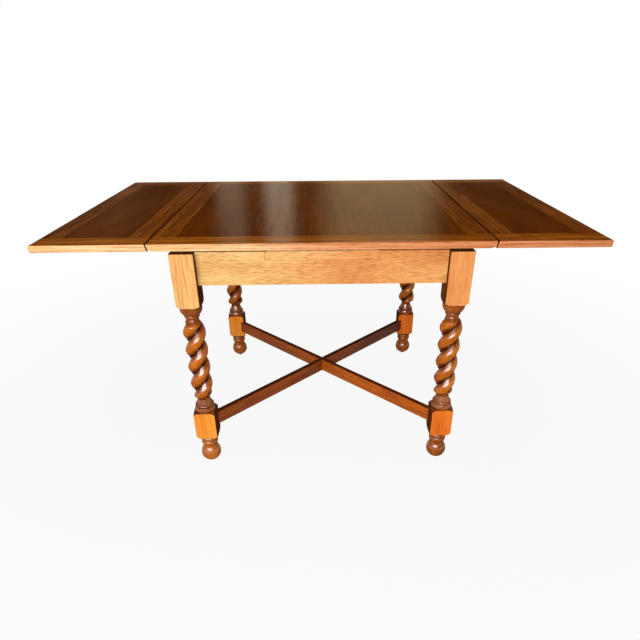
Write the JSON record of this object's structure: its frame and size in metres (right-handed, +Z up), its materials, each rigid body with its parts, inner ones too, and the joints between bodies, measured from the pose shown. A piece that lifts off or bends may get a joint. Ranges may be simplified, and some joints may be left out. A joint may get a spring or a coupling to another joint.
{
  "type": "draw-leaf table",
  "caption": "Square oak dining table with a loose centre top, draw leaves that slide out level with it on tapered lopers, barley-twist legs and crossed diagonal stretchers.",
  "frame": {"origin": "on the floor under the middle of the table", "axes": "+X along the way the leaves draw out, to the right seen from the front; +Y to the back; +Z up"},
  "size_m": [1.524, 0.914, 0.762],
  "materials": {
    "panel_oak": "dark stained, gloss polish",
    "border_oak_long": "mid stained, gloss polish",
    "border_oak_end": "mid stained, gloss polish",
    "rail_oak_long": "golden stained, satin polish",
    "rail_oak_end": "golden stained, satin polish",
    "leg_oak": "red-brown stained, gloss polish",
    "stretcher_oak": "red-brown stained, satin polish",
    "guide_oak": "planed, bare",
    "board_oak": "planed, bare",
    "block_oak": "sawn, bare",
    "loper_beech": "planed, waxed",
    "peg_beech": "turned, bare",
    "screw_steel": "bright",
    "glide_steel": "darkened"
  },
  "bodies": {
    "frame": {"back_bearer": "rail_oak_long", "back_left_corner_block": "block_oak", "back_left_glide": "glide_steel", "back_left_leg": "leg_oak", "back_rail": "rail_oak_long", "back_right_corner_block": "block_oak", "back_right_glide": "glide_steel", "back_right_leg": "leg_oak", "board_screws": "screw_steel", "centre_board": "board_oak", "corner_block_screws": "screw_steel", "front_bearer": "rail_oak_long", "front_left_corner_block": "block_oak", "front_left_glide": "glide_steel", "front_left_leg": "leg_oak", "front_rail": "rail_oak_long", "front_right_corner_block": "block_oak", "front_right_glide": "glide_steel", "front_right_leg": "leg_oak", "left_end_rail": "rail_oak_end", "left_guide_rail": "guide_oak", "right_end_rail": "rail_oak_end", "right_guide_rail": "guide_oak", "stretcher_dowels": "peg_beech", "stretcher_front_left": "stretcher_oak", "stretcher_front_right": "stretcher_oak", "stretcher_screw": "screw_steel"},
    "top": {"top_back_border": "border_oak_long", "top_front_border": "border_oak_long", "top_left_border": "border_oak_end", "top_panel": "panel_oak", "top_pegs": "peg_beech", "top_right_border": "border_oak_end"},
    "left_leaf": {"left_leaf_back_border": "border_oak_long", "left_leaf_back_loper": "loper_beech", "left_leaf_front_border": "border_oak_long", "left_leaf_front_loper": "loper_beech", "left_leaf_inner_border": "border_oak_end", "left_leaf_loper_screws": "screw_steel", "left_leaf_outer_border": "border_oak_end", "left_leaf_panel": "panel_oak", "left_leaf_stop_pegs": "peg_beech"},
    "right_leaf": {"right_leaf_back_border": "border_oak_long", "right_leaf_back_loper": "loper_beech", "right_leaf_front_border": "border_oak_long", "right_leaf_front_loper": "loper_beech", "right_leaf_inner_border": "border_oak_end", "right_leaf_loper_screws": "screw_steel", "right_leaf_outer_border": "border_oak_end", "right_leaf_panel": "panel_oak", "right_leaf_stop_pegs": "peg_beech"}
  },
  "joints": [
    {"name": "top_lift", "type": "slide", "parent": "frame", "child": "top", "axis": [0, 0, 1], "range_m": [0, 0.65]},
    {"name": "left_leaf_slide", "type": "slide", "parent": "frame", "child": "left_leaf", "axis": [-0.998, 0, 0.0638], "range_m": [-0.30572, 0]},
    {"name": "right_leaf_slide", "type": "slide", "parent": "frame", "child": "right_leaf", "axis": [0.998, 0, 0.0638], "range_m": [-0.30572, 0]}
  ],
  "couplings": [
    {"joint": "left_leaf_slide", "follows": "top_lift", "ratio": -0.47019},
    {"joint": "right_leaf_slide", "follows": "top_lift", "ratio": -0.47019}
  ]
}
